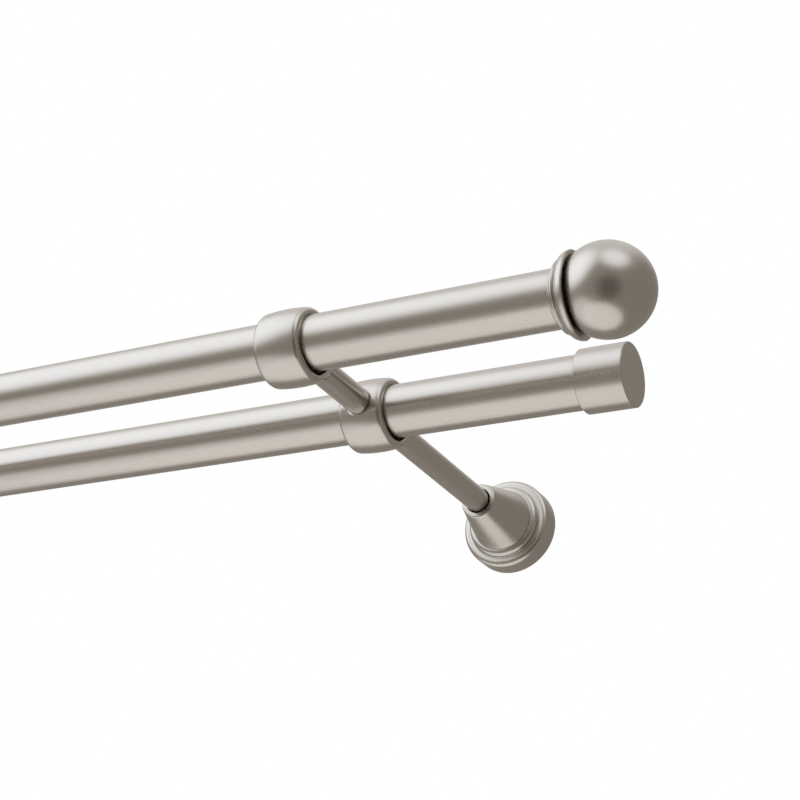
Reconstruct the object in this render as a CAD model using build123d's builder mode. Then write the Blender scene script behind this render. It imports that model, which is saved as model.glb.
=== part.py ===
from build123d import *
from math import sqrt
import os

# A double curtain pole: two tubes carried one behind the other by a pair of passing brackets.
# Millimetres. The origin lies on the wall, midway between the brackets and level with their arms.
# +X runs to the right as seen from the room, +Y into the wall, +Z up, so the room is at -Y.

# Poles
pole_length = 1200.0
pole_radius = 10.0
pole_wall = 1.0
pole_overhang = 100.5
pole_end_chamfer = 0.3

# Reach of the two poles' rings from the wall
rear_reach = 122.0
front_reach = 180.0

# Rings that the poles pass through
ring_width = 18.0
ring_bore_radius = 10.6
ring_crown_radius = 13.8
ring_shoulder_radius = 13.1
ring_lip_round = 2.0
ring_bore_chamfer = 0.3
ring_seat_radius = 12.7
ring_seat_margin = 0.6

# Arms
arm_radius = 5.0
spigot_radius = 3.0
spigot_recess = 0.2
spigot_chamfer = 0.3

# Rose, the stepped cone that hides the fixing; depths are measured from the wall
rose_radius = 19.5
rose_rim_depth = 9.2
rose_rim_round = 2.0
rose_cove_round = 0.4
rose_step_radius = 15.8
rose_step_depth = 12.2
rose_step_round = 1.5
rose_cone_radius = 13.4
rose_length = 35.0
rose_lip_round = 0.8
rose_wall = 2.0
rose_neck_depth = 24.0
rose_neck_ramp = 2.5
rose_mouth_gap = 0.5
rose_mouth_wall = 1.9
rose_screw_depth = 30.0

# Wall plate
plate_thickness = 4.0
plate_recess = 0.6
plate_edge_chamfer = 0.4
wall_screw_spacing = 22.0
wall_screw_hole_radius = 2.25
wall_screw_head_radius = 4.5

# Finial: a collar and a ball on the front pole's end; places are measured from the pole's end
web_thickness = 1.6
bead_width = 1.2
bead_radius = 10.9
ridge_width = 1.3
ridge_radius = 12.3
groove_radius = 10.3
flare_shoulder_radius = 13.9
flare_shoulder_run = 1.3
lip_radius = 14.8
lip_wall = 1.3
lip_round = 0.4
cup_floor_radius = 8.5
collar_length = 6.35
ball_radius = 15.8
ball_centre_run = 16.1
plug_length = 16.0
plug_chamfer = 0.5
stud_radius = 3.0
stud_in_ball = 9.0
stud_in_plug = 13.0
stud_chamfer = 0.4

# End caps of the rear pole
cap_radius = 11.7
cap_length = 17.9
cap_end_wall = 2.0
cap_edge_chamfer = 0.35
cap_mouth_chamfer = 0.3

# Fasteners
ring_screw_radius = 2.0
ring_screw_length = 4.0
ring_screw_socket = 2.0
ring_screw_socket_depth = 2.0
rose_screw_radius = 1.5
rose_screw_length = 3.0
rose_screw_socket = 1.5
rose_screw_socket_depth = 1.5
arm_screw_radius = 2.5
arm_screw_head_radius = 4.7
arm_screw_length = 16.0
arm_screw_socket = 3.0
arm_screw_socket_depth = 2.0
screw_point_chamfer = 0.4
countersink_angle = 90.0

# Clearances
seat_clearance = 0.05
thread_clearance = 0.05
spigot_clearance = 0.05
plug_clearance = 0.05
cap_clearance = 0.1
plate_clearance = 0.3
arm_recess_clearance = 0.1
stud_clearance = 0.1
screw_hole_clearance = 0.25
screw_head_sink = 0.2
drill_overrun = 1.0

# Worked out
bracket_x = pole_length / 2 - pole_overhang
arm_seat_depth = plate_thickness - plate_recess
rose_bore_radius = arm_radius + rose_mouth_gap
rose_mouth_radius = rose_bore_radius + rose_mouth_wall
rose_inner_radius = rose_radius - rose_wall
plate_radius = rose_inner_radius - plate_clearance
flare_start = bead_width + ridge_width
ridge_shoulder_radius = ridge_radius - ridge_width / 2
ball_seat_radius = sqrt(ball_radius**2 - (ball_centre_run - web_thickness) ** 2)
sides = {"left": -1, "right": 1}
reaches = {"rear": rear_reach, "front": front_reach}

# Each grub screw enters from below and behind, and presses its pole up and forward against the bore.
press_direction = Vector(0, -1, 1).normalized()
pole_shift = ring_bore_radius - pole_radius - seat_clearance
screw_tip_radius = pole_radius - pole_shift + seat_clearance

os.makedirs("parts", exist_ok=True)


def pole_centre(reach):
    """Where the axis of the pole in the rings at this reach crosses the plane X = 0."""
    return Vector(0, -reach, 0) + press_direction * pole_shift


def pole_end_section(side, reach):
    """Section plane at a pole's end: local x runs outwards from the end, local y up."""
    centre = pole_centre(reach)
    origin = (side * pole_length / 2, centre.Y, centre.Z)
    return Plane(origin=origin, x_dir=(side, 0, 0), z_dir=(0, -side, 0))


def pole_axis(reach):
    """The line that everything turned on a pole is revolved about."""
    return Axis(pole_centre(reach), (1, 0, 0))


def arm_section(side):
    """Section plane through a bracket's arm: local x runs from the wall to the room, local y up."""
    return Plane(origin=(side * bracket_x, 0, 0), x_dir=(0, -1, 0), z_dir=(-1, 0, 0))


def arm_axis(side):
    """The line of a bracket's arm."""
    return Axis((side * bracket_x, 0, 0), (0, -1, 0))


def facing(side, depth, direction):
    """Plane across a bracket's arm at a depth from the wall, looking along the direction."""
    return Plane(origin=(side * bracket_x, -depth, 0), x_dir=(1, 0, 0), z_dir=direction)


def write(piece, label):
    """Name a finished piece and write its file."""
    piece.part.label = label
    export_step(piece.part, f"parts/{label}.step")


# Poles: plain tubes with their ends broken
for name, reach in reaches.items():
    centre = pole_centre(reach)
    pole_start = Plane(origin=(-pole_length / 2, centre.Y, centre.Z), x_dir=(0, 1, 0), z_dir=(1, 0, 0))
    with BuildPart() as pole:
        with BuildSketch(pole_start):
            Circle(pole_radius)
            Circle(pole_radius - pole_wall, mode=Mode.SUBTRACT)
        extrude(amount=pole_length)
        pole_ends = pole.faces().filter_by(Axis.X)
        rims = pole_ends.edges().filter_by(lambda edge: edge.radius > pole_radius - pole_wall / 2)
        chamfer(rims, length=pole_end_chamfer)
    write(pole, f"{name}_pole")


# Rings: barrel-turned, bored for the pole, spot-faced for the arms and tapped for the grub screw
def make_ring(label, side, reach, arm_directions):
    """One ring, with a seat and a spigot hole in each direction that an arm leaves it."""
    section = Plane(origin=(side * bracket_x, -reach, 0), x_dir=(1, 0, 0), z_dir=(0, -1, 0))
    half_width = ring_width / 2
    with BuildPart() as ring:
        with BuildSketch(section) as profile:
            with BuildLine():
                Line((-half_width, ring_shoulder_radius), (-half_width, ring_bore_radius))
                Line((-half_width, ring_bore_radius), (half_width, ring_bore_radius))
                Line((half_width, ring_bore_radius), (half_width, ring_shoulder_radius))
                ThreePointArc(
                    (half_width, ring_shoulder_radius),
                    (0, ring_crown_radius),
                    (-half_width, ring_shoulder_radius),
                )
            make_face()
            corners = profile.vertices().sort_by(Axis.Y)
            fillet(corners[-2:], radius=ring_lip_round)
            chamfer(corners[:2], length=ring_bore_chamfer)
        revolve(axis=Axis(section.origin, (1, 0, 0)))
        for direction in arm_directions:
            with Locations(facing(side, reach, direction).offset(ring_crown_radius)):
                CounterBoreHole(
                    radius=spigot_radius + spigot_clearance,
                    counter_bore_radius=arm_radius + ring_seat_margin,
                    counter_bore_depth=ring_crown_radius - ring_seat_radius,
                    depth=ring_crown_radius - pole_radius,
                )
        with Locations(facing(side, reach, -press_direction).offset(ring_crown_radius)):
            Hole(radius=ring_screw_radius + thread_clearance, depth=ring_crown_radius - pole_radius)
    write(ring, label)


wallward = (0, 1, 0)
roomward = (0, -1, 0)
for end, side in sides.items():
    make_ring(f"rear_ring_{end}", side, rear_reach, [wallward, roomward])
    make_ring(f"front_ring_{end}", side, front_reach, [wallward])

# Arms: round bar with turned spigots; the rear arm is tapped at the wall end for its screw
for end, side in sides.items():
    rear_shoulder = rear_reach - ring_seat_radius
    rear_tip = rear_reach - ring_bore_radius - spigot_recess
    with BuildPart() as rear_arm:
        with BuildSketch(arm_section(side)):
            with BuildLine():
                Polyline(
                    (arm_seat_depth, 0),
                    (arm_seat_depth, arm_radius),
                    (rear_shoulder, arm_radius),
                    (rear_shoulder, spigot_radius),
                    (rear_tip, spigot_radius),
                    (rear_tip, 0),
                    close=True,
                )
            make_face()
        revolve(axis=arm_axis(side))
        tip_rim = rear_arm.faces().sort_by(Axis.Y)[0].edges()
        chamfer(tip_rim, length=spigot_chamfer)
        with Locations(facing(side, arm_seat_depth, wallward)):
            Hole(
                radius=arm_screw_radius + thread_clearance,
                depth=arm_screw_length - arm_seat_depth + drill_overrun,
            )
    write(rear_arm, f"rear_arm_{end}")

    front_arm_tips = (
        rear_reach + ring_bore_radius + spigot_recess,
        front_reach - ring_bore_radius - spigot_recess,
    )
    front_arm_shoulders = (rear_reach + ring_seat_radius, front_reach - ring_seat_radius)
    with BuildPart() as front_arm:
        with BuildSketch(arm_section(side)):
            with BuildLine():
                Polyline(
                    (front_arm_tips[0], 0),
                    (front_arm_tips[0], spigot_radius),
                    (front_arm_shoulders[0], spigot_radius),
                    (front_arm_shoulders[0], arm_radius),
                    (front_arm_shoulders[1], arm_radius),
                    (front_arm_shoulders[1], spigot_radius),
                    (front_arm_tips[1], spigot_radius),
                    (front_arm_tips[1], 0),
                    close=True,
                )
            make_face()
        revolve(axis=arm_axis(side))
        spigot_ends = front_arm.faces().sort_by(Axis.Y)
        chamfer(spigot_ends[0].edges() + spigot_ends[-1].edges(), length=spigot_chamfer)
    write(front_arm, f"front_arm_{end}")

# Roses: hollow stepped cones that slide along the arm to the wall, with a thick neck for the screw
for end, side in sides.items():
    inner_step_radius = rose_step_radius - rose_wall
    inner_cone_radius = rose_cone_radius - rose_wall
    cone_taper = (rose_cone_radius - rose_mouth_radius) / (rose_length - rose_step_depth)
    neck_cavity_depth = rose_neck_depth - rose_neck_ramp
    neck_cavity_radius = inner_cone_radius - cone_taper * (neck_cavity_depth - rose_step_depth)
    with BuildPart() as rose:
        with BuildSketch(arm_section(side)):
            with BuildLine():
                FilletPolyline(
                    (0, rose_radius),
                    (rose_rim_depth, rose_radius),
                    (rose_rim_depth, rose_step_radius),
                    (rose_step_depth, rose_step_radius),
                    (rose_step_depth, rose_cone_radius),
                    (rose_length, rose_mouth_radius),
                    (rose_length, rose_bore_radius),
                    (rose_neck_depth, rose_bore_radius),
                    (neck_cavity_depth, neck_cavity_radius),
                    (rose_step_depth, inner_cone_radius),
                    (rose_step_depth - rose_wall, inner_step_radius),
                    (rose_rim_depth - rose_wall, inner_step_radius),
                    (rose_rim_depth - rose_wall, rose_inner_radius),
                    (0, rose_inner_radius),
                    radius=[0, rose_rim_round, rose_cove_round, rose_step_round, 0, rose_lip_round]
                    + [0] * 8,
                    close=True,
                )
            make_face()
        revolve(axis=arm_axis(side))
        neck_top = Plane(
            origin=(side * bracket_x, -rose_screw_depth, rose_cone_radius),
            x_dir=(1, 0, 0),
            z_dir=(0, 0, 1),
        )
        with Locations(neck_top):
            Hole(radius=rose_screw_radius + thread_clearance, depth=rose_cone_radius)
    write(rose, f"rose_{end}")

# Wall plates: discs inside the roses, screwed to the wall, with the arm's screw through the middle
for end, side in sides.items():
    plate_back = facing(side, 0, wallward)
    plate_front = facing(side, plate_thickness, roomward)
    with BuildPart() as plate:
        with BuildSketch(facing(side, 0, roomward)):
            Circle(plate_radius)
        extrude(amount=plate_thickness)
        chamfer(plate.faces().sort_by(Axis.Y)[0].edges(), length=plate_edge_chamfer)
        with Locations(plate_front):
            CounterBoreHole(
                radius=arm_screw_radius + screw_hole_clearance,
                counter_bore_radius=arm_radius + arm_recess_clearance,
                counter_bore_depth=plate_recess,
                depth=plate_thickness,
            )
            with GridLocations(0, wall_screw_spacing, 1, 2):
                CounterSinkHole(
                    radius=wall_screw_hole_radius,
                    counter_sink_radius=wall_screw_head_radius,
                    depth=plate_thickness,
                    counter_sink_angle=countersink_angle,
                )
        with Locations(plate_back):
            CounterSinkHole(
                radius=arm_screw_radius + screw_hole_clearance,
                counter_sink_radius=arm_screw_head_radius + screw_hole_clearance,
                depth=arm_seat_depth,
                counter_sink_angle=countersink_angle,
            )
    write(plate, f"wall_plate_{end}")

# Finial collars: two turned beads, then a flare open towards the ball, on a thin web
for end, side in sides.items():
    with BuildPart() as collar:
        with BuildSketch(pole_end_section(side, front_reach)) as profile:
            with BuildLine():
                ThreePointArc((0, groove_radius), (bead_width / 2, bead_radius), (bead_width, groove_radius))
                Line((bead_width, groove_radius), (bead_width, ridge_shoulder_radius))
                ThreePointArc(
                    (bead_width, ridge_shoulder_radius),
                    (bead_width + ridge_width / 2, ridge_radius),
                    (flare_start, ridge_shoulder_radius),
                )
                ThreePointArc(
                    (flare_start, ridge_shoulder_radius),
                    (flare_start + flare_shoulder_run, flare_shoulder_radius),
                    (collar_length, lip_radius),
                )
                Polyline(
                    (collar_length, lip_radius),
                    (collar_length, lip_radius - lip_wall),
                    (web_thickness, cup_floor_radius),
                    (web_thickness, stud_radius + stud_clearance),
                    (0, stud_radius + stud_clearance),
                    (0, groove_radius),
                )
            make_face()
            fillet(profile.vertices().group_by(Axis.X)[-1], radius=lip_round)
        revolve(axis=pole_axis(front_reach))
    write(collar, f"finial_collar_{end}")

# Finial balls: flat where they meet the web, drilled for the stud
for end, side in sides.items():
    section = pole_end_section(side, front_reach)
    with BuildPart() as ball:
        with BuildSketch(section):
            with BuildLine():
                seat_rim = (web_thickness, ball_seat_radius)
                ball_tip = (ball_centre_run + ball_radius, 0)
                ThreePointArc(seat_rim, (ball_centre_run, ball_radius), ball_tip)
                Polyline(ball_tip, (web_thickness, 0), seat_rim)
            make_face()
        revolve(axis=pole_axis(front_reach))
        seat_origin = section.from_local_coords(Vector(web_thickness, 0, 0))
        with Locations(Plane(origin=seat_origin, z_dir=(-side, 0, 0))):
            Hole(radius=stud_radius + thread_clearance, depth=stud_in_ball + drill_overrun)
    write(ball, f"finial_ball_{end}")

# Finial plugs: pressed into the front pole's ends, tapped for the stud
for end, side in sides.items():
    with BuildPart() as plug:
        with BuildSketch(pole_end_section(side, front_reach)) as profile:
            with BuildLine():
                Polyline(
                    (0, stud_radius + thread_clearance),
                    (0, pole_radius - pole_wall - plug_clearance),
                    (-plug_length, pole_radius - pole_wall - plug_clearance),
                    (-plug_length, stud_radius + thread_clearance),
                    close=True,
                )
            make_face()
            chamfer(profile.vertices().sort_by(Axis.Y)[-2:], length=plug_chamfer)
        revolve(axis=pole_axis(front_reach))
    write(plug, f"finial_plug_{end}")

# End caps: straight cups pushed over the rear pole's ends
for end, side in sides.items():
    with BuildPart() as cap:
        with BuildSketch(pole_end_section(side, rear_reach)) as profile:
            with BuildLine():
                mouth = cap_end_wall - cap_length
                Polyline(
                    (cap_end_wall, 0),
                    (cap_end_wall, cap_radius),
                    (mouth, cap_radius),
                    (mouth, pole_radius + cap_clearance),
                    (0, pole_radius + cap_clearance),
                    (0, 0),
                    close=True,
                )
            make_face()
            mouth_corner, face_corner = profile.vertices().group_by(Axis.Y)[-1].sort_by(Axis.X)
            chamfer(mouth_corner, length=cap_mouth_chamfer)
            chamfer(face_corner, length=cap_edge_chamfer)
        revolve(axis=pole_axis(rear_reach))
    write(cap, f"end_cap_{end}")

# Ring grub screws: one to each ring, entering from below and behind
with BuildPart() as ring_screws:
    for side in sides.values():
        for reach in reaches.values():
            tip = facing(side, reach, -press_direction).offset(screw_tip_radius)
            with BuildSketch(tip):
                Circle(ring_screw_radius - screw_point_chamfer)
            with BuildSketch(tip.offset(screw_point_chamfer)):
                Circle(ring_screw_radius)
            loft()
            with BuildSketch(tip.offset(screw_point_chamfer)):
                Circle(ring_screw_radius)
            extrude(amount=ring_screw_length - screw_point_chamfer)
            with BuildSketch(tip.offset(ring_screw_length)):
                RegularPolygon(ring_screw_socket / 2, 6, major_radius=False)
            extrude(amount=-ring_screw_socket_depth, mode=Mode.SUBTRACT)
write(ring_screws, "ring_grub_screws")

# Rose grub screws: on top of each neck, pressing on the arm
with BuildPart() as rose_screws:
    for side in sides.values():
        tip = Plane(
            origin=(side * bracket_x, -rose_screw_depth, arm_radius + seat_clearance),
            x_dir=(1, 0, 0),
            z_dir=(0, 0, 1),
        )
        with BuildSketch(tip):
            Circle(rose_screw_radius)
        extrude(amount=rose_screw_length)
        with BuildSketch(tip.offset(rose_screw_length)):
            RegularPolygon(rose_screw_socket / 2, 6, major_radius=False)
        extrude(amount=-rose_screw_socket_depth, mode=Mode.SUBTRACT)
write(rose_screws, "rose_grub_screws")

# Arm screws: countersunk into the back of each plate
head_base_depth = screw_head_sink + arm_screw_head_radius - arm_screw_radius
with BuildPart() as arm_screws:
    for side in sides.values():
        with BuildSketch(arm_section(side)):
            with BuildLine():
                Polyline(
                    (screw_head_sink, 0),
                    (screw_head_sink, arm_screw_head_radius),
                    (head_base_depth, arm_screw_radius),
                    (arm_screw_length, arm_screw_radius),
                    (arm_screw_length, 0),
                    close=True,
                )
            make_face()
        revolve(axis=arm_axis(side))
        with BuildSketch(facing(side, screw_head_sink, roomward)):
            RegularPolygon(arm_screw_socket / 2, 6, major_radius=False)
        extrude(amount=arm_screw_socket_depth, mode=Mode.SUBTRACT)
write(arm_screws, "arm_screws")

# Finial studs: from the plug, through the web, into the ball
with BuildPart() as studs:
    for side in sides.values():
        with BuildSketch(pole_end_section(side, front_reach)):
            with BuildLine():
                stud_start = -stud_in_plug
                stud_end = web_thickness + stud_in_ball
                Polyline(
                    (stud_start, 0),
                    (stud_start, stud_radius - stud_chamfer),
                    (stud_start + stud_chamfer, stud_radius),
                    (stud_end - stud_chamfer, stud_radius),
                    (stud_end, stud_radius - stud_chamfer),
                    (stud_end, 0),
                    close=True,
                )
            make_face()
        revolve(axis=pole_axis(front_reach))
write(studs, "finial_studs")
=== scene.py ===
from math import atan2, cos, pi, radians, sin, sqrt, tan

import bpy
from bpy.props import FloatProperty, FloatVectorProperty, IntProperty, PointerProperty
from mathutils import Matrix, Vector


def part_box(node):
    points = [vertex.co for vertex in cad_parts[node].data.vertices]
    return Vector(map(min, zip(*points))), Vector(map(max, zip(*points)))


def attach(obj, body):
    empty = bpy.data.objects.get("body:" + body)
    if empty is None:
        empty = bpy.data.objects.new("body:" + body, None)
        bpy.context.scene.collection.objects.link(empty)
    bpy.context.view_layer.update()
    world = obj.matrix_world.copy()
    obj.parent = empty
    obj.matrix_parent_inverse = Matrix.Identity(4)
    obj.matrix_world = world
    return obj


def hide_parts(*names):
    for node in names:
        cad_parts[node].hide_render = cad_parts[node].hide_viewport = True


bl_info = {
    "name": "Double Curtain Pole",
    "version": (1, 0, 0),
    "blender": (4, 5, 0),
    "location": "View3D > Sidebar > Curtain Pole",
    "description": "Turns the fittings of a double curtain pole and finishes them in satin nickel",
    "category": "Object",
}

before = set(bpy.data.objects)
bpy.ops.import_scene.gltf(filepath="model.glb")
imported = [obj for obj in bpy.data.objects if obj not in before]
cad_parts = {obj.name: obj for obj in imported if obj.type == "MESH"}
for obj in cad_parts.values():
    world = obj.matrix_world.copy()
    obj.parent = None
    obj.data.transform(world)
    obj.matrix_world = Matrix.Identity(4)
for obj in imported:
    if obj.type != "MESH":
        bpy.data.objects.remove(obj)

BODY = "root"
ALONG_POLE = Vector((1.0, 0.0, 0.0))
INTO_ROOM = Vector((0.0, -1.0, 0.0))
UP = Vector((0.0, 0.0, 1.0))

# Segments of one turn
ROUND_POLE, ROUND_ARM, ROUND_HOLE = 192, 128, 96
ROUND_FLOOR, ROUND_TENT, TENT_RINGS = 96, 96, 48
# Steps of the arcs in the outlines
EDGE_STEPS, ROSE_STEPS = 6, 10
LIP_STEPS, BARREL_STEPS = 10, 32
BEAD_STEPS, FLARE_STEPS = 12, 20
BALL_FRONT_STEPS, BALL_BACK_STEPS = 40, 56

MERGE_DISTANCE = 1e-6
# The little plane that is merged into an outline's first point
FIRST_PLANE = 0.001
SMOOTH_UP_TO = radians(30)
# A ring's holes start at this share of its bore's radius and end at this share of its crown's.
DRILL_FROM, DRILL_PAST = 0.9, 1.2


def middle(node):
    """The centre of a node's box."""
    low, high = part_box(node)
    return (Vector(low) + Vector(high)) / 2


def extent(node):
    """The size of a node's box along X, Y and Z."""
    low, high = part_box(node)
    return Vector(high) - Vector(low)


def size_of(name, description, default):
    """A length property, in metres."""
    return FloatProperty(name=name, description=description, default=default, unit="LENGTH", precision=5)


class CurtainPolePoleSizes(bpy.types.PropertyGroup):
    radius: size_of("Radius", "Outer radius of both tubes", extent("front_pole").z / 2)
    wall: size_of("Wall", "Thickness of the tubes' wall", 0.001)
    end_chamfer: size_of("End chamfer", "Broken edge at the tubes' ends", 0.0003)


class CurtainPoleRingSizes(bpy.types.PropertyGroup):
    bore_radius: size_of("Bore radius", "Radius of the hole that the pole passes through", 0.0106)
    crown_radius: size_of("Crown radius", "Radius at the barrel's middle", extent("front_ring_right").z / 2)
    shoulder_radius: size_of("Shoulder radius", "Radius at which the barrel would meet its faces", 0.0131)
    lip_round: size_of("Lip round", "Rounding between the barrel and its faces", 0.002)
    bore_chamfer: size_of("Bore chamfer", "Broken edge of the bore", 0.0003)
    seat_radius: size_of("Seat radius", "Distance of the arms' seats from the ring's axis", 0.0127)
    seat_margin: size_of("Seat margin", "How far a seat stands out past the arm", 0.0006)


class CurtainPoleArmSizes(bpy.types.PropertyGroup):
    radius: size_of("Radius", "Radius of the arms", extent("rear_arm_right").x / 2)
    spigot_radius: size_of("Spigot radius", "Radius of the spigots that enter the rings", 0.003)
    spigot_chamfer: size_of("Spigot chamfer", "Broken edge at a spigot's tip", 0.0003)
    screw_hole_radius: size_of("Screw hole radius", "Radius of the hole in the wall end", 0.00255)
    screw_hole_depth: size_of("Screw hole depth", "Depth of the hole in the wall end", 0.0136)


class CurtainPoleRoseSizes(bpy.types.PropertyGroup):
    rim_depth: size_of("Rim depth", "Depth of the base from the wall", 0.0092)
    rim_round: size_of("Rim round", "Rounding of the base's front edge", 0.002)
    cove_round: size_of("Cove round", "Rounding where the step meets the base", 0.0004)
    step_radius: size_of("Step radius", "Radius of the second step", 0.0158)
    step_depth: size_of("Step depth", "Depth of the second step from the wall", 0.0122)
    step_round: size_of("Step round", "Rounding of the step's front edge", 0.0022)
    cone_radius: size_of("Cone radius", "Radius of the cone at its root", 0.0134)
    mouth_radius: size_of("Mouth radius", "Radius of the cone at its mouth", 0.0074)
    lip_round: size_of("Lip round", "Rounding of the mouth's outer edge", 0.0008)
    bore_radius: size_of("Bore radius", "Radius of the hole for the arm", 0.0055)
    wall: size_of("Wall", "Thickness of the rose's wall", 0.002)
    neck_depth: size_of("Neck depth", "Where the thick neck starts, from the wall", 0.024)
    neck_ramp: size_of("Neck ramp", "Run of the slope inside the neck", 0.0025)


class CurtainPoleFinialSizes(bpy.types.PropertyGroup):
    web: size_of("Web", "Thickness of the collar's web", 0.0016)
    bead_width: size_of("Bead width", "Width of the bead beside the pole", 0.0012)
    bead_radius: size_of("Bead radius", "Crown of the bead beside the pole", 0.0109)
    ridge_width: size_of("Ridge width", "Width of the second bead", 0.0013)
    ridge_radius: size_of("Ridge radius", "Crown of the second bead", 0.0123)
    groove_radius: size_of("Groove radius", "Bottom of the groove between the beads", 0.0103)
    flare_radius: size_of("Flare radius", "Radius of the flare's shoulder", 0.0139)
    flare_run: size_of("Flare run", "Where the flare's shoulder lies, past the beads", 0.0013)
    lip_radius: size_of("Lip radius", "Radius of the lip round the ball", 0.0148)
    lip_wall: size_of("Lip wall", "Thickness of the lip", 0.0013)
    lip_round: size_of("Lip round", "Rounding of the lip", 0.0004)
    cup_radius: size_of("Cup radius", "Radius of the cup's floor", 0.0085)
    stud_hole_radius: size_of("Stud hole radius", "Radius of the hole through the web", 0.0031)
    ball_radius: size_of("Ball radius", "Radius of the ball", 0.0158)
    ball_run: size_of("Ball run", "Distance of the ball's centre from the pole's end", 0.0161)
    ball_hole_radius: size_of("Ball hole radius", "Radius of the hole in the ball", 0.00305)
    ball_hole_depth: size_of("Ball hole depth", "Depth of the hole in the ball", 0.01)


class CurtainPoleCapSizes(bpy.types.PropertyGroup):
    end_wall: size_of("End wall", "Thickness of the cap's face", 0.002)
    bore_radius: size_of("Bore radius", "Radius of the hole for the pole", 0.0101)
    face_chamfer: size_of("Face chamfer", "Broken edge of the face", 0.00035)
    mouth_chamfer: size_of("Mouth chamfer", "Broken edge of the mouth", 0.0003)


class CurtainPoleScrewSizes(bpy.types.PropertyGroup):
    ring_hole_radius: size_of("Ring hole radius", "Radius of a ring's tapped hole", 0.00205)
    rose_hole_radius: size_of("Rose hole radius", "Radius of a rose's tapped hole", 0.00155)
    rose_hole_depth: size_of("Rose hole depth", "Distance of the rose's hole from the wall", 0.03)


class CurtainPoleFinish(bpy.types.PropertyGroup):
    nickel: FloatVectorProperty(
        name="Nickel", description="Colour of the satin nickel", subtype="COLOR", size=3,
        min=0.0, max=1.0, default=(0.60, 0.555, 0.51),
    )
    nickel_roughness: FloatProperty(
        name="Nickel roughness", description="Mean roughness of the satin nickel",
        default=0.27, min=0.0, max=1.0, subtype="FACTOR",
    )
    zinc: FloatVectorProperty(
        name="Zinc", description="Colour of the zinc-plated fixings", subtype="COLOR", size=3,
        min=0.0, max=1.0, default=(0.62, 0.63, 0.64),
    )
    zinc_roughness: FloatProperty(
        name="Zinc roughness", description="Mean roughness of the zinc plate",
        default=0.36, min=0.0, max=1.0, subtype="FACTOR",
    )
    oxide: FloatVectorProperty(
        name="Black oxide", description="Colour of the grub screws", subtype="COLOR", size=3,
        min=0.0, max=1.0, default=(0.07, 0.07, 0.075),
    )
    oxide_roughness: FloatProperty(
        name="Oxide roughness", description="Mean roughness of the grub screws",
        default=0.42, min=0.0, max=1.0, subtype="FACTOR",
    )
    plastic: FloatVectorProperty(
        name="Plug plastic", description="Colour of the plugs in the front pole", subtype="COLOR", size=3,
        min=0.0, max=1.0, default=(0.045, 0.045, 0.047),
    )
    plastic_roughness: FloatProperty(
        name="Plastic roughness", description="Mean roughness of the plugs",
        default=0.55, min=0.0, max=1.0, subtype="FACTOR",
    )


class CurtainPoleStudio(bpy.types.PropertyGroup):
    yaw: FloatProperty(
        name="Yaw", description="Turn of the camera to the left of +Y",
        default=radians(30.71), subtype="ANGLE", unit="ROTATION",
    )
    pitch: FloatProperty(
        name="Pitch", description="How far the camera looks up",
        default=radians(25.22), subtype="ANGLE", unit="ROTATION",
    )
    roll: FloatProperty(
        name="Roll", description="Roll of the camera",
        default=radians(5.15), subtype="ANGLE", unit="ROTATION",
    )
    from_bracket: FloatVectorProperty(
        name="Place", description="Place of the camera from the right bracket's foot",
        default=(0.29706, -0.60545, -0.25979), size=3, subtype="TRANSLATION", unit="LENGTH",
    )
    focal_pixels: FloatProperty(
        name="Focal length", description="Focal length in pixels of the square picture", default=1669.1,
    )
    picture_pixels: IntProperty(
        name="Picture", description="Side of the square picture in pixels", default=800,
    )
    floor_drop: size_of("Floor drop", "How far the floor lies below the arms", 2.0)
    floor_radius: size_of("Floor radius", "Radius of the round floor", 1.62)
    floor_glow: FloatProperty(
        name="Floor glow", description="What the floor adds to the light that it returns, where it is seen",
        default=0.48, min=0.0,
    )
    tent_radius: size_of("Tent radius", "Radius of the light tent", 6.0)
    floor_colour: FloatVectorProperty(
        name="Floor", description="Colour of the floor", subtype="COLOR", size=3,
        min=0.0, max=1.0, default=(0.9, 0.89, 0.875),
    )


def settings(group):
    """One of the property groups on the scene."""
    return getattr(bpy.context.scene, group)


# Outlines for turning: lists of (run along the axis, radius) points


def rounded(corners, steps=EDGE_STEPS):
    """Points of a closed outline with corners (run, radius, rounding)."""
    points = []
    for index, (run, height, rounding) in enumerate(corners):
        here = Vector((run, height))
        if not rounding:
            points.append((run, height))
            continue
        before = (Vector(corners[index - 1][:2]) - here).normalized()
        after = (Vector(corners[(index + 1) % len(corners)][:2]) - here).normalized()
        half_angle = before.angle(after) / 2
        bisector = (before + after).normalized()
        centre = here + bisector * (rounding / sin(half_angle))
        start = here + before * (rounding / tan(half_angle)) - centre
        end = here + after * (rounding / tan(half_angle)) - centre
        points += [tuple(centre + point) for point in swept(start, end, steps)]
    return points


def swept(start, end, steps):
    """Spokes from start to end about the origin, turning the short way."""
    first = atan2(start.y, start.x)
    turn = atan2(end.y, end.x) - first
    turn = (turn + pi) % (2 * pi) - pi
    angles = [first + turn * step / steps for step in range(steps + 1)]
    return [Vector((cos(angle), sin(angle))) * start.length for angle in angles]


def arc_through(start, peak, end, steps):
    """Points on the arc from start over peak to end."""
    a, b, c = Vector(start), Vector(peak), Vector(end)
    turn = 2 * (a.x * (b.y - c.y) + b.x * (c.y - a.y) + c.x * (a.y - b.y))
    centre = Vector((
        (a.dot(a) * (b.y - c.y) + b.dot(b) * (c.y - a.y) + c.dot(c) * (a.y - b.y)) / turn,
        (a.dot(a) * (c.x - b.x) + b.dot(b) * (a.x - c.x) + c.dot(c) * (b.x - a.x)) / turn,
    ))
    to_peak = swept(a - centre, b - centre, steps // 2)
    from_peak = swept(b - centre, c - centre, steps // 2)
    return [tuple(centre + point) for point in to_peak + from_peak[1:]]


# Mesh tools


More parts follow.
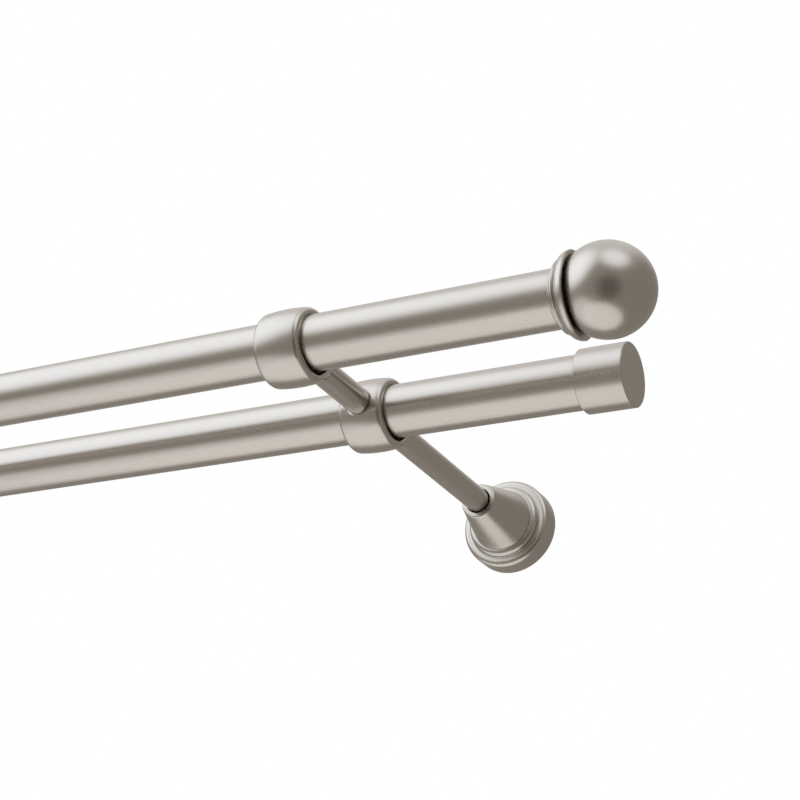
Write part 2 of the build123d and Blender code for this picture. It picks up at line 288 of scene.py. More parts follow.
def to_object_mode():
    """Leave edit mode with nothing selected."""
    if bpy.context.object and bpy.context.object.mode != "OBJECT":
        bpy.ops.object.mode_set(mode="OBJECT")
    bpy.ops.object.select_all(action="DESELECT")


def turned(name, outline, origin, axis, segments):
    """Draw an outline by extruding a vertex from point to point, then spin it about a level axis."""
    to_object_mode()
    places = [origin + axis * run + UP * radius for run, radius in outline]
    bpy.ops.mesh.primitive_plane_add(size=FIRST_PLANE, location=places[0])
    piece = bpy.context.object
    piece.name = piece.data.name = name
    bpy.ops.object.transform_apply(location=True, rotation=True, scale=True)
    bpy.ops.object.mode_set(mode="EDIT")
    bpy.ops.mesh.select_all(action="SELECT")
    bpy.ops.mesh.merge(type="CENTER")
    for here, there in zip(places, places[1:] + places[:1]):
        bpy.ops.mesh.extrude_vertices_move(TRANSFORM_OT_translate={"value": there - here})
    bpy.ops.mesh.select_all(action="SELECT")
    bpy.ops.mesh.remove_doubles(threshold=MERGE_DISTANCE)
    bpy.ops.mesh.spin(steps=segments, angle=2 * pi, center=origin, axis=axis)
    tidy_mesh()
    return piece


def tidy_mesh():
    """Merge doubles, drop edges left on the axis, face outwards and return to object mode."""
    bpy.ops.mesh.select_all(action="SELECT")
    bpy.ops.mesh.remove_doubles(threshold=MERGE_DISTANCE)
    bpy.ops.mesh.delete_loose()
    bpy.ops.mesh.select_all(action="SELECT")
    bpy.ops.mesh.normals_make_consistent(inside=False)
    bpy.ops.object.mode_set(mode="OBJECT")


def drill(piece, origin, axis, radius, start, end, segments=ROUND_HOLE):
    """Cut a round hole along an axis, from one run to another."""
    to_object_mode()
    axis = axis.normalized()
    bpy.ops.mesh.primitive_cylinder_add(
        vertices=segments,
        radius=radius,
        depth=end - start,
        location=origin + axis * (start + end) / 2,
        rotation=axis.to_track_quat("Z", "Y").to_euler(),
    )
    cutter = bpy.context.object
    bpy.ops.object.select_all(action="DESELECT")
    piece.select_set(True)
    bpy.context.view_layer.objects.active = piece
    cut = piece.modifiers.new("Hole", "BOOLEAN")
    cut.operation = "DIFFERENCE"
    cut.solver = "EXACT"
    cut.object = cutter
    bpy.ops.object.modifier_apply(modifier=cut.name)
    bpy.data.objects.remove(cutter)


def finish_piece(piece, node, material):
    """Smooth the piece, give it its finish and let it stand for its node."""
    to_object_mode()
    piece.select_set(True)
    bpy.context.view_layer.objects.active = piece
    bpy.ops.object.shade_smooth_by_angle(angle=SMOOTH_UP_TO)
    piece.data.materials.clear()
    piece.data.materials.append(material)
    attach(piece, BODY)
    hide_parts(node)


def mirrored(piece, name):
    """A copy of a right-hand piece with a mesh of its own, for the left."""
    to_object_mode()
    piece.select_set(True)
    bpy.context.view_layer.objects.active = piece
    bpy.ops.object.duplicate()
    copy = bpy.context.object
    copy.name = copy.data.name = name
    copy.scale.x = -1
    bpy.ops.object.transform_apply(location=True, rotation=True, scale=True)
    bpy.ops.object.mode_set(mode="EDIT")
    tidy_mesh()
    return copy


def finish_pair(piece, base, material):
    """Finish a right-hand piece and its mirrored copy."""
    copy = mirrored(piece, f"{base}_left_turned")
    finish_piece(piece, f"{base}_right", material)
    finish_piece(copy, f"{base}_left", material)


# Materials

# The grain: how much of it is soft patches, the noise's middle and usual ends, and the tone at its low end
PATCH_SHARE = 0.45
NOISE_LOW, NOISE_MIDDLE, NOISE_HIGH = 0.3, 0.5, 0.7
GRAIN_DARKEST = 0.98


def add_node(tree, kind, label="", **values):
    """A node with some of its properties set."""
    node = tree.nodes.new(kind)
    node.label = label
    for key, value in values.items():
        setattr(node, key, value)
    return node


def satin_grain_group():
    """Fine lines from turning or drawing, over soft patches: colour, roughness and height."""
    name = "Satin grain"
    if name in bpy.data.node_groups:
        return bpy.data.node_groups[name]
    group = bpy.data.node_groups.new(name, "ShaderNodeTree")
    sockets = (
        ("INPUT", "Grain Vector", "NodeSocketVector"),
        ("INPUT", "Patch Vector", "NodeSocketVector"),
        ("INPUT", "Colour", "NodeSocketColor"),
        ("INPUT", "Roughness", "NodeSocketFloat"),
        ("INPUT", "Spread", "NodeSocketFloat"),
        ("OUTPUT", "Colour", "NodeSocketColor"),
        ("OUTPUT", "Roughness", "NodeSocketFloat"),
        ("OUTPUT", "Height", "NodeSocketFloat"),
    )
    for side, label, kind in sockets:
        group.interface.new_socket(name=label, in_out=side, socket_type=kind)
    enter = add_node(group, "NodeGroupInput")
    leave = add_node(group, "NodeGroupOutput")
    grain = add_node(group, "ShaderNodeTexNoise", "Grain")
    grain.inputs["Scale"].default_value = 1.0
    grain.inputs["Detail"].default_value = 3.0
    patch = add_node(group, "ShaderNodeTexNoise", "Patches")
    patch.inputs["Scale"].default_value = 1.0
    patch.inputs["Detail"].default_value = 2.0
    both = add_node(group, "ShaderNodeMix", "Grain and patches", data_type="FLOAT")
    both.inputs["Factor"].default_value = PATCH_SHARE
    centred = add_node(group, "ShaderNodeMath", "Centred", operation="SUBTRACT")
    centred.inputs[1].default_value = NOISE_MIDDLE
    scaled = add_node(group, "ShaderNodeMath", "Scaled", operation="MULTIPLY")
    rough = add_node(group, "ShaderNodeMath", "Roughness", operation="ADD")
    tone = add_node(group, "ShaderNodeMapRange", "Tone")
    tone.inputs["From Min"].default_value = NOISE_LOW
    tone.inputs["From Max"].default_value = NOISE_HIGH
    tone.inputs["To Min"].default_value = GRAIN_DARKEST
    tone.inputs["To Max"].default_value = 1.0
    tint = add_node(group, "ShaderNodeVectorMath", "Tinted", operation="SCALE")
    link = group.links.new
    link(enter.outputs["Grain Vector"], grain.inputs["Vector"])
    link(enter.outputs["Patch Vector"], patch.inputs["Vector"])
    link(grain.outputs["Fac"], both.inputs["A"])
    link(patch.outputs["Fac"], both.inputs["B"])
    link(both.outputs["Result"], centred.inputs[0])
    link(centred.outputs[0], scaled.inputs[0])
    link(enter.outputs["Spread"], scaled.inputs[1])
    link(scaled.outputs[0], rough.inputs[0])
    link(enter.outputs["Roughness"], rough.inputs[1])
    link(both.outputs["Result"], tone.inputs["Value"])
    link(enter.outputs["Colour"], tint.inputs[0])
    link(tone.outputs["Result"], tint.inputs["Scale"])
    link(tint.outputs["Vector"], leave.inputs["Colour"])
    link(rough.outputs[0], leave.inputs["Roughness"])
    link(grain.outputs["Fac"], leave.inputs["Height"])
    return group


def grained_material(name, colour, roughness, spread, grain, patch, metallic, relief):
    """A material with satin grain: grain and patch are repeats per metre along X, Y and Z."""
    if name in bpy.data.materials:
        return bpy.data.materials[name]
    material = bpy.data.materials.new(name)
    material.use_nodes = True
    tree = material.node_tree
    tree.nodes.clear()
    output = add_node(tree, "ShaderNodeOutputMaterial")
    shader = add_node(tree, "ShaderNodeBsdfPrincipled")
    shader.inputs["Metallic"].default_value = metallic
    place = add_node(tree, "ShaderNodeTexCoord")
    lines = add_node(tree, "ShaderNodeMapping", "Grain scale")
    lines.inputs["Scale"].default_value = grain
    patches = add_node(tree, "ShaderNodeMapping", "Patch scale")
    patches.inputs["Scale"].default_value = (patch, patch, patch)
    satin = add_node(tree, "ShaderNodeGroup", "Satin grain", node_tree=satin_grain_group())
    satin.inputs["Colour"].default_value = (*colour, 1.0)
    satin.inputs["Roughness"].default_value = roughness
    satin.inputs["Spread"].default_value = spread
    bump = add_node(tree, "ShaderNodeBump")
    bump.inputs["Strength"].default_value = 1.0
    bump.inputs["Distance"].default_value = relief
    link = tree.links.new
    link(place.outputs["Object"], lines.inputs["Vector"])
    link(place.outputs["Object"], patches.inputs["Vector"])
    link(lines.outputs["Vector"], satin.inputs["Grain Vector"])
    link(patches.outputs["Vector"], satin.inputs["Patch Vector"])
    link(satin.outputs["Colour"], shader.inputs["Base Color"])
    link(satin.outputs["Roughness"], shader.inputs["Roughness"])
    link(satin.outputs["Height"], bump.inputs["Height"])
    link(bump.outputs["Normal"], shader.inputs["Normal"])
    link(shader.outputs["BSDF"], output.inputs["Surface"])
    return material


def nickel(name, grain):
    """Satin nickel with its grain running across the direction of the finest repeat."""
    finish = settings("curtain_pole_finish")
    return grained_material(
        name, tuple(finish.nickel), finish.nickel_roughness,
        spread=0.05, grain=grain, patch=45.0, metallic=1.0, relief=5e-7,
    )


def drawn_nickel():
    """Nickel on the tubes, with grain along the pole."""
    return nickel("Satin nickel, drawn", (30.0, 5500.0, 5500.0))


def turned_nickel():
    """Nickel on pieces turned about the pole's axis, with grain round it."""
    return nickel("Satin nickel, turned on the pole", (5500.0, 90.0, 90.0))


def arm_nickel():
    """Nickel on pieces turned about the arm's axis, with grain round it."""
    return nickel("Satin nickel, turned on the arm", (90.0, 5500.0, 90.0))


def zinc_plate():
    """Bright zinc on the plates, arm screws and studs."""
    finish = settings("curtain_pole_finish")
    return grained_material(
        "Zinc plate", tuple(finish.zinc), finish.zinc_roughness,
        spread=0.16, grain=(900.0, 900.0, 900.0), patch=150.0, metallic=1.0, relief=4e-6,
    )


def black_oxide():
    """Black oxide on the grub screws."""
    finish = settings("curtain_pole_finish")
    return grained_material(
        "Black oxide", tuple(finish.oxide), finish.oxide_roughness,
        spread=0.16, grain=(1500.0, 1500.0, 1500.0), patch=300.0, metallic=0.7, relief=4e-6,
    )


def plug_plastic():
    """Dark matt plastic of the plugs in the front pole."""
    finish = settings("curtain_pole_finish")
    return grained_material(
        "Plug plastic", tuple(finish.plastic), finish.plastic_roughness,
        spread=0.12, grain=(2200.0, 2200.0, 2200.0), patch=200.0, metallic=0.0, relief=1e-5,
    )


# Outlines of the pieces


def tube_outline(length):
    """The wall of a tube, from its left end."""
    size = settings("curtain_pole_poles")
    outer, inner, cut = size.radius, size.radius - size.wall, size.end_chamfer
    return [
        (0.0, inner), (0.0, outer - cut), (cut, outer),
        (length - cut, outer), (length, outer - cut), (length, inner),
    ]


def ring_outline(width):
    """A barrel with rounded lips and a bore, about its own middle."""
    size = settings("curtain_pole_rings")
    half, cut, lip = width / 2, size.bore_chamfer, size.lip_round
    rise = size.crown_radius - size.shoulder_radius
    barrel_radius = (half**2 + rise**2) / (2 * rise)
    barrel_centre = Vector((0.0, size.crown_radius - barrel_radius))
    lip_run = half - lip
    lip_height = barrel_centre.y + sqrt((barrel_radius - lip) ** 2 - lip_run**2)
    lip_centre = Vector((lip_run, lip_height))
    lip_end = (lip_centre - barrel_centre).normalized()
    lip_points = [lip_centre + spoke for spoke in swept(Vector((lip, 0.0)), lip_end * lip, LIP_STEPS)]
    right = lip_end * barrel_radius
    left = Vector((-right.x, right.y))
    barrel = [barrel_centre + spoke for spoke in swept(right, left, BARREL_STEPS)]
    right_lip = [tuple(point) for point in lip_points]
    left_lip = [(-run, height) for run, height in reversed(right_lip)]
    bore = [
        (-half, size.bore_radius + cut), (-half + cut, size.bore_radius),
        (half - cut, size.bore_radius), (half, size.bore_radius + cut),
    ]
    return right_lip + [tuple(point) for point in barrel[1:-1]] + left_lip + bore


def rose_outline(rim_radius, length):
    """The hollow stepped cone, from the wall to its mouth and back inside."""
    size = settings("curtain_pole_roses")
    taper = (size.cone_radius - size.mouth_radius) / (length - size.step_depth)
    inner_cone = size.cone_radius - size.wall
    hollow_depth = size.neck_depth - size.neck_ramp
    hollow_radius = inner_cone - taper * (hollow_depth - size.step_depth)
    inner_rim, inner_step = rim_radius - size.wall, size.step_radius - size.wall
    return rounded([
        (0.0, rim_radius, 0.0),
        (size.rim_depth, rim_radius, size.rim_round),
        (size.rim_depth, size.step_radius, size.cove_round),
        (size.step_depth, size.step_radius, size.step_round),
        (size.step_depth, size.cone_radius, 0.0),
        (length, size.mouth_radius, size.lip_round),
        (length, size.bore_radius, 0.0),
        (size.neck_depth, size.bore_radius, 0.0),
        (hollow_depth, hollow_radius, 0.0),
        (size.step_depth, inner_cone, 0.0),
        (size.step_depth - size.wall, inner_step, 0.0),
        (size.rim_depth - size.wall, inner_step, 0.0),
        (size.rim_depth - size.wall, inner_rim, 0.0),
        (0.0, inner_rim, 0.0),
    ], steps=ROSE_STEPS)


def collar_outline(length):
    """Two beads, the flare and the cup, from the pole's end."""
    size = settings("curtain_pole_finials")
    shoulder = size.ridge_radius - size.ridge_width / 2
    flare_start = size.bead_width + size.ridge_width
    bead = arc_through(
        (0.0, size.groove_radius),
        (size.bead_width / 2, size.bead_radius),
        (size.bead_width, size.groove_radius), BEAD_STEPS,
    )
    ridge = arc_through(
        (size.bead_width, shoulder),
        (size.bead_width + size.ridge_width / 2, size.ridge_radius),
        (flare_start, shoulder), BEAD_STEPS,
    )
    flare = arc_through(
        (flare_start, shoulder),
        (flare_start + size.flare_run, size.flare_radius),
        (length, size.lip_radius), FLARE_STEPS,
    )
    lip_round = min(size.lip_round, size.lip_wall / 3)
    before_lip = flare[-2]
    lip = rounded([
        (*before_lip, 0.0),
        (length, size.lip_radius, lip_round),
        (length, size.lip_radius - size.lip_wall, lip_round),
        (size.web, size.cup_radius, 0.0),
        (size.web, size.stud_hole_radius, 0.0),
        (0.0, size.stud_hole_radius, 0.0),
    ])
    return bead + ridge + flare[1:-2] + lip


def ball_outline():
    """The ball with its flat seat and blind hole, from the pole's end."""
    size = settings("curtain_pole_finials")
    seat = sqrt(size.ball_radius**2 - (size.ball_run - size.web) ** 2)
    seat_spoke = Vector((size.web - size.ball_run, seat))
    top_spoke = Vector((0.0, size.ball_radius))
    front = swept(seat_spoke, top_spoke, BALL_FRONT_STEPS)
    back = swept(top_spoke, Vector((size.ball_radius, 0.0)), BALL_BACK_STEPS)
    hole_end = size.web + size.ball_hole_depth
    ball = [(size.ball_run + spoke.x, max(spoke.y, 0.0)) for spoke in front + back[1:]]
    hole = [(hole_end, 0.0), (hole_end, size.ball_hole_radius), (size.web, size.ball_hole_radius)]
    return ball + hole


def cap_outline(length, radius):
    """The cup over the rear pole's end, from the pole's end."""
    size = settings("curtain_pole_caps")
    mouth = size.end_wall - length
    return [
        (0.0, 0.0), (0.0, size.bore_radius), (mouth, size.bore_radius),
        (mouth, radius - size.mouth_chamfer), (mouth + size.mouth_chamfer, radius),
        (size.end_wall - size.face_chamfer, radius), (size.end_wall, radius - size.face_chamfer),
        (size.end_wall, 0.0),
    ]


def arm_outline(start, end, start_shoulder, end_shoulder):
    """A bar with a spigot past each shoulder; without a start shoulder it starts with a screw hole."""
    size = settings("curtain_pole_arms")
    bar, spigot, cut = size.radius, size.spigot_radius, size.spigot_chamfer
    points = []
    if start_shoulder is None:
        hole, depth = size.screw_hole_radius, size.screw_hole_depth
        points += [(start + depth, 0.0), (start + depth, hole), (start, hole), (start, bar)]
    else:
        points += [(start, 0.0), (start, spigot - cut), (start + cut, spigot)]
        points += [(start_shoulder, spigot), (start_shoulder, bar)]
    points += [(end_shoulder, bar), (end_shoulder, spigot)]
    points += [(end - cut, spigot), (end, spigot - cut), (end, 0.0)]
    return points


def ring_centre(node):
    """The middle of a ring; the front one has a seat towards the wall only, so its box isn't even."""
    centre = middle(node)
    if node.startswith("front"):
        room_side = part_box(node)[0][1]
        centre.y = room_side + settings("curtain_pole_rings").crown_radius
    return centre


def pole_end(node, side):
    """Where the axis of a pole leaves its end."""
    centre = middle(node)
    return Vector((centre.x + side * extent(node).x / 2, centre.y, centre.z))


class CURTAINPOLE_OT_poles(bpy.types.Operator):
    """Turn the front and rear tubes"""

    bl_idname = "curtain_pole.poles"
    bl_label = "Poles"

    def execute(self, context):
        for node in ("front_pole", "rear_pole"):
            length = extent(node).x
            start = pole_end(node, -1.0)
            tube = turned(f"{node}_tube", tube_outline(length), start, ALONG_POLE, ROUND_POLE)
            finish_piece(tube, node, drawn_nickel())
        return {"FINISHED"}


class CURTAINPOLE_OT_rings(bpy.types.Operator):
    """Turn the rings, cut the arms' seats and drill the grub screws' holes"""

    bl_idname = "curtain_pole.rings"
    bl_label = "Rings"

    def execute(self, context):
        size = settings("curtain_pole_rings")
        arm = settings("curtain_pole_arms")
        screws = settings("curtain_pole_screws")
        inside = size.bore_radius * DRILL_FROM
        beyond = size.crown_radius * DRILL_PAST
        seat_cut = arm.radius + size.seat_margin
        below_behind = -INTO_ROOM - UP
        for place, directions in (("front", (-INTO_ROOM,)), ("rear", (-INTO_ROOM, INTO_ROOM))):
            node = f"{place}_ring_right"
            centre = ring_centre(node)
            outline = ring_outline(extent(node).x)
            ring = turned(f"{node}_turned", outline, centre, ALONG_POLE, ROUND_POLE)
            for direction in directions:
                drill(ring, centre, direction, seat_cut, size.seat_radius, beyond, ROUND_ARM)
                drill(ring, centre, direction, arm.spigot_radius, inside, beyond)
            drill(ring, centre, below_behind, screws.ring_hole_radius, inside, beyond)
            finish_pair(ring, f"{place}_ring", turned_nickel())
        return {"FINISHED"}


class CURTAINPOLE_OT_arms(bpy.types.Operator):
    """Turn the arms with their spigots"""

    bl_idname = "curtain_pole.arms"
    bl_label = "Arms"

    def execute(self, context):
        seat = settings("curtain_pole_rings").seat_radius
        foot = Vector((middle("rose_right").x, 0.0, 0.0))
        rear_reach = -ring_centre("rear_ring_right").y
        front_reach = -ring_centre("front_ring_right").y
        shoulders = {
            "rear_arm": (None, rear_reach - seat),
            "front_arm": (rear_reach + seat, front_reach - seat),
        }
        for base, (start_shoulder, end_shoulder) in shoulders.items():
            low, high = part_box(f"{base}_right")
            outline = arm_outline(-high[1], -low[1], start_shoulder, end_shoulder)
            arm = turned(f"{base}_right_turned", outline, foot, INTO_ROOM, ROUND_ARM)
            finish_pair(arm, base, arm_nickel())
        return {"FINISHED"}


class CURTAINPOLE_OT_roses(bpy.types.Operator):
    """Turn the stepped cones over the wall fixings"""

    bl_idname = "curtain_pole.roses"
    bl_label = "Roses"

    def execute(self, context):
        screws = settings("curtain_pole_screws")
        cone = settings("curtain_pole_roses").cone_radius
        size = extent("rose_right")
        foot = Vector((middle("rose_right").x, 0.0, 0.0))
        outline = rose_outline(size.x / 2, size.y)
        rose = turned("rose_right_turned", outline, foot, INTO_ROOM, ROUND_POLE)
        screw_place = foot + INTO_ROOM * screws.rose_hole_depth
        drill(rose, screw_place, UP, screws.rose_hole_radius, 0.0, cone)
        finish_pair(rose, "rose", arm_nickel())
        return {"FINISHED"}


class CURTAINPOLE_OT_finials(bpy.types.Operator):
    """Turn the collars and balls on the front pole's ends"""

    bl_idname = "curtain_pole.finials"
    bl_label = "Finials"

    def execute(self, context):
        start = pole_end("front_pole", 1.0)
        outlines = {
            "finial_collar": collar_outline(extent("finial_collar_right").x),
            "finial_ball": ball_outline(),
        }
        for base, outline in outlines.items():
            piece = turned(f"{base}_right_turned", outline, start, ALONG_POLE, ROUND_POLE)
            finish_pair(piece, base, turned_nickel())
        return {"FINISHED"}


class CURTAINPOLE_OT_caps(bpy.types.Operator):
    """Turn the caps on the rear pole's ends"""

    bl_idname = "curtain_pole.caps"
    bl_label = "End caps"

    def execute(self, context):
        size = extent("end_cap_right")
        start = pole_end("rear_pole", 1.0)
        outline = cap_outline(size.x, size.z / 2)
        cap = turned("end_cap_right_turned", outline, start, ALONG_POLE, ROUND_POLE)
        finish_pair(cap, "end_cap", turned_nickel())
        return {"FINISHED"}


class CURTAINPOLE_OT_fixings(bpy.types.Operator):
    """Finish the wall plates, screws, studs and plugs, whose solids stay as they are"""

    bl_idname = "curtain_pole.fixings"
    bl_label = "Fixings"

    def execute(self, context):
        finishes = {
            "wall_plate_left": zinc_plate,
            "wall_plate_right": zinc_plate,
            "arm_screws": zinc_plate,
            "finial_studs": zinc_plate,
            "ring_grub_screws": black_oxide,
            "rose_grub_screws": black_oxide,
            "finial_plug_left": plug_plastic,
            "finial_plug_right": plug_plastic,
        }
        for node, finish in finishes.items():
            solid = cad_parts[node]
            solid.data.materials.clear()
            solid.data.materials.append(finish())
        return {"FINISHED"}


# The studio

# The light tent's even level, and soft zones: azimuth and elevation of the middle,
# how far out the zone is full and where it has faded out, all in degrees, and its brightness.
# Azimuth 0 points into the room and 90 to the right. Later zones lie over earlier ones.
TENT_EVEN = 0.30
TENT_ZONES = {
    "roof": (0.0, 90.0, 25.0, 70.0, 0.8),
    "dark wall on the right": (120.0, 0.0, 30.0, 70.0, 0.28),
    "key light on the upper left": (-50.0, 35.0, 14.0, 46.0, 1.5),
    "soft light on the upper right": (45.0, 46.0, 4.0, 30.0, 1.3),
    "reflector below on the left": (-80.0, -58.0, 25.0, 46.0, 0.9),
    "dark flag round the camera": (30.0, -22.0, 6.0, 36.0, 0.12),
}
# The dim parts of the tent are warm and the bright ones cool.
DIM_LEVEL, DIM_COLOUR = 0.15, (1.08, 1.0, 0.88, 1.0)
BRIGHT_LEVEL, BRIGHT_COLOUR = 1.3, (0.94, 1.0, 1.07, 1.0)
SOFT_GREY, WHITE = (0.6, 0.6, 0.6, 1.0), (1.0, 1.0, 1.0, 1.0)
# The camera's sensor in millimetres, and its clipping in metres
SENSOR_WIDTH = 36.0
CLIP_START, CLIP_END = 0.01, 50.0


def direction_to(azimuth, elevation):
    """A unit direction from an azimuth and an elevation in degrees."""
    turn, rise = radians(azimuth), radians(elevation)
    return Vector((sin(turn) * cos(rise), -cos(turn) * cos(rise), sin(rise)))


def seen_mask(tree):
    """1 where a camera, glossy or transmission ray looks, 0 for light on the object."""
    path = add_node(tree, "ShaderNodeLightPath")
    first = add_node(tree, "ShaderNodeMath", operation="MAXIMUM")
    second = add_node(tree, "ShaderNodeMath", operation="MAXIMUM")
    tree.links.new(path.outputs["Is Camera Ray"], first.inputs[0])
    tree.links.new(path.outputs["Is Glossy Ray"], first.inputs[1])
    tree.links.new(first.outputs[0], second.inputs[0])
    tree.links.new(path.outputs["Is Transmission Ray"], second.inputs[1])
    return second.outputs[0]


def tent_material():
    """Light that varies softly over the tent, zone by zone."""
    material = bpy.data.materials.new("Light tent")
    material.use_nodes = True
    material.cycles.emission_sampling = "NONE"
    tree = material.node_tree
    tree.nodes.clear()
    link = tree.links.new
    place = add_node(tree, "ShaderNodeTexCoord")
    facing = add_node(tree, "ShaderNodeVectorMath", operation="NORMALIZE")
    link(place.outputs["Object"], facing.inputs[0])
    level = add_node(tree, "ShaderNodeValue", "Even light").outputs[0]
    level.default_value = TENT_EVEN
    for name, (azimuth, elevation, full, faded, brightness) in TENT_ZONES.items():
        near = add_node(tree, "ShaderNodeVectorMath", operation="DOT_PRODUCT")
        near.inputs[1].default_value = direction_to(azimuth, elevation)
        edge = add_node(tree, "ShaderNodeMapRange", interpolation_type="SMOOTHSTEP")
        edge.inputs["From Min"].default_value = cos(radians(faded))
        edge.inputs["From Max"].default_value = cos(radians(full))
        over = add_node(tree, "ShaderNodeMix", name.capitalize(), data_type="FLOAT")
        over.inputs["B"].default_value = brightness
        link(facing.outputs["Vector"], near.inputs[0])
        link(near.outputs["Value"], edge.inputs["Value"])
        link(edge.outputs["Result"], over.inputs["Factor"])
        link(level, over.inputs["A"])
        level = over.outputs["Result"]
    coolness = add_node(tree, "ShaderNodeMapRange", "Coolness")
    coolness.inputs["From Min"].default_value = DIM_LEVEL
    coolness.inputs["From Max"].default_value = BRIGHT_LEVEL
    colour = add_node(tree, "ShaderNodeMix", "Light colour", data_type="RGBA")
    colour.inputs["A"].default_value = DIM_COLOUR
    colour.inputs["B"].default_value = BRIGHT_COLOUR
    glow = add_node(tree, "ShaderNodeEmission")
    output = add_node(tree, "ShaderNodeOutputMaterial")
    link(level, coolness.inputs["Value"])
    link(level, glow.inputs["Strength"])
    link(coolness.outputs["Result"], colour.inputs["Factor"])
    link(colour.outputs["Result"], glow.inputs["Color"])
    link(glow.outputs["Emission"], output.inputs["Surface"])
    return material


def floor_material(colour, glow):
    """A pale floor, seen a little brighter than the tent lights it."""
    material = bpy.data.materials.new("Pale floor")
    material.use_nodes = True
    tree = material.node_tree
    shader = tree.nodes["Principled BSDF"]
    shader.inputs["Base Color"].default_value = (*colour, 1.0)
    shader.inputs["Roughness"].default_value = 1.0
    shader.inputs["Specular IOR Level"].default_value = 0.0
    shader.inputs["Emission Color"].default_value = (*colour, 1.0)
    lift = add_node(tree, "ShaderNodeMath", operation="MULTIPLY")
    lift.inputs[1].default_value = glow
    tree.links.new(seen_mask(tree), lift.inputs[0])
    tree.links.new(lift.outputs[0], shader.inputs["Emission Strength"])
    return material


def light_world():
    """White to what looks at it, and a soft grey light to the rest."""
    world = bpy.data.worlds.new("Studio")
    bpy.context.scene.world = world
    world.use_nodes = True
    tree = world.node_tree
    background = tree.nodes["Background"]
    colour = add_node(tree, "ShaderNodeMix", data_type="RGBA")
    colour.inputs["A"].default_value = SOFT_GREY
    colour.inputs["B"].default_value = WHITE
    tree.links.new(seen_mask(tree), colour.inputs["Factor"])
    tree.links.new(colour.outputs["Result"], background.inputs["Color"])
    background.inputs["Strength"].default_value = 1.0


class CURTAINPOLE_OT_stage(bpy.types.Operator):
    """Set up the floor, the light tent and the camera"""

    bl_idname = "curtain_pole.stage"
    bl_label = "Stage"

    def execute(self, context):
        studio = settings("curtain_pole_studio")
        to_object_mode()
        bpy.ops.mesh.primitive_circle_add(
            vertices=ROUND_FLOOR, radius=studio.floor_radius, fill_type="NGON",
            location=(0.0, 0.0, -studio.floor_drop),
        )
        floor = context.object
        floor.name = "floor"
        floor.data.materials.append(floor_material(tuple(studio.floor_colour), studio.floor_glow))
        to_object_mode()
        bpy.ops.mesh.primitive_uv_sphere_add(
            segments=ROUND_TENT, ring_count=TENT_RINGS, radius=studio.tent_radius,
        )
        tent = context.object
        tent.name = "light_tent"
        tent.data.materials.append(tent_material())
        # The camera and the world's light pass through the tent, which lights the metal and the floor.
        tent.visible_camera = False
        tent.visible_shadow = False
        light_world()
        self.place_camera(context, studio)
        context.scene.view_settings.view_transform = "Standard"
        return {"FINISHED"}

    def place_camera(self, context, studio):
        """Stand the camera where the picture was taken from."""
        ahead = Vector((
            -sin(studio.yaw) * cos(studio.pitch), cos(studio.yaw) * cos(studio.pitch), sin(studio.pitch),
        ))
        level = Vector((cos(studio.yaw), sin(studio.yaw), 0.0))
        upward = level.cross(ahead)
        right = level * cos(studio.roll) + upward * sin(studio.roll)
        up = upward * cos(studio.roll) - level * sin(studio.roll)
        bracket = Vector((middle("rose_right").x, 0.0, 0.0))
        bpy.ops.object.camera_add(location=bracket + Vector(studio.from_bracket))
        camera = context.object
        turn = Matrix((right, up, -ahead)).transposed()
        camera.rotation_euler = turn.to_euler()
        camera.data.sensor_width = SENSOR_WIDTH
        camera.data.lens = SENSOR_WIDTH * studio.focal_pixels / studio.picture_pixels
        camera.data.clip_start = CLIP_START
        camera.data.clip_end = CLIP_END
        context.scene.camera = camera


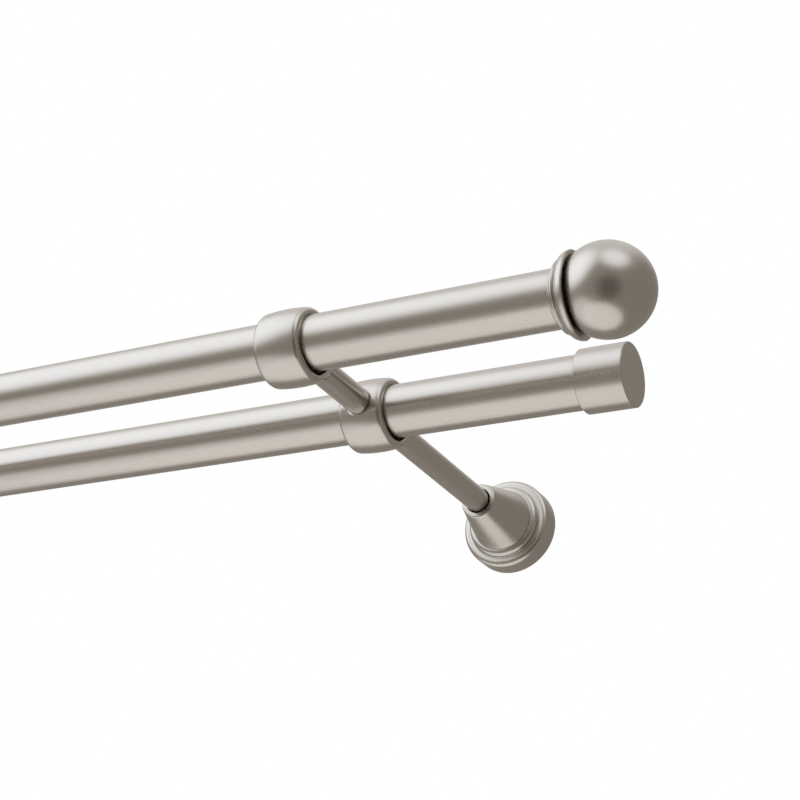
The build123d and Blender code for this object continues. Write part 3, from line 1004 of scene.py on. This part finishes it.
class CURTAINPOLE_PT_panel(bpy.types.Panel):
    """Lists the steps that dress the curtain pole"""

    bl_idname = "CURTAINPOLE_PT_panel"
    bl_label = "Curtain Pole"
    bl_space_type = "VIEW_3D"
    bl_region_type = "UI"
    bl_category = "Curtain Pole"

    def draw(self, context):
        for operator in OPERATORS:
            self.layout.operator(operator.bl_idname)
        self.layout.prop(context.scene.curtain_pole_finish, "nickel")
        self.layout.prop(context.scene.curtain_pole_finish, "nickel_roughness")


GROUPS = {
    "curtain_pole_poles": CurtainPolePoleSizes,
    "curtain_pole_rings": CurtainPoleRingSizes,
    "curtain_pole_arms": CurtainPoleArmSizes,
    "curtain_pole_roses": CurtainPoleRoseSizes,
    "curtain_pole_finials": CurtainPoleFinialSizes,
    "curtain_pole_caps": CurtainPoleCapSizes,
    "curtain_pole_screws": CurtainPoleScrewSizes,
    "curtain_pole_finish": CurtainPoleFinish,
    "curtain_pole_studio": CurtainPoleStudio,
}
OPERATORS = (
    CURTAINPOLE_OT_poles,
    CURTAINPOLE_OT_rings,
    CURTAINPOLE_OT_arms,
    CURTAINPOLE_OT_roses,
    CURTAINPOLE_OT_finials,
    CURTAINPOLE_OT_caps,
    CURTAINPOLE_OT_fixings,
    CURTAINPOLE_OT_stage,
)


def register():
    """Add the groups of sizes, the operators and the panel."""
    for group in GROUPS.values():
        bpy.utils.register_class(group)
    for name, group in GROUPS.items():
        setattr(bpy.types.Scene, name, PointerProperty(type=group))
    for cls in (*OPERATORS, CURTAINPOLE_PT_panel):
        bpy.utils.register_class(cls)


def unregister():
    """Take out what register adds."""
    for cls in reversed((*OPERATORS, CURTAINPOLE_PT_panel)):
        bpy.utils.unregister_class(cls)
    for name, group in reversed(list(GROUPS.items())):
        delattr(bpy.types.Scene, name)
        bpy.utils.unregister_class(group)


def main():
    """Dress the pole and set the stage."""
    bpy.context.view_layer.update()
    register()
    bpy.ops.curtain_pole.poles()
    bpy.ops.curtain_pole.rings()
    bpy.ops.curtain_pole.arms()
    bpy.ops.curtain_pole.roses()
    bpy.ops.curtain_pole.finials()
    bpy.ops.curtain_pole.caps()
    bpy.ops.curtain_pole.fixings()
    bpy.ops.curtain_pole.stage()


if __name__ == "__main__":
    main()
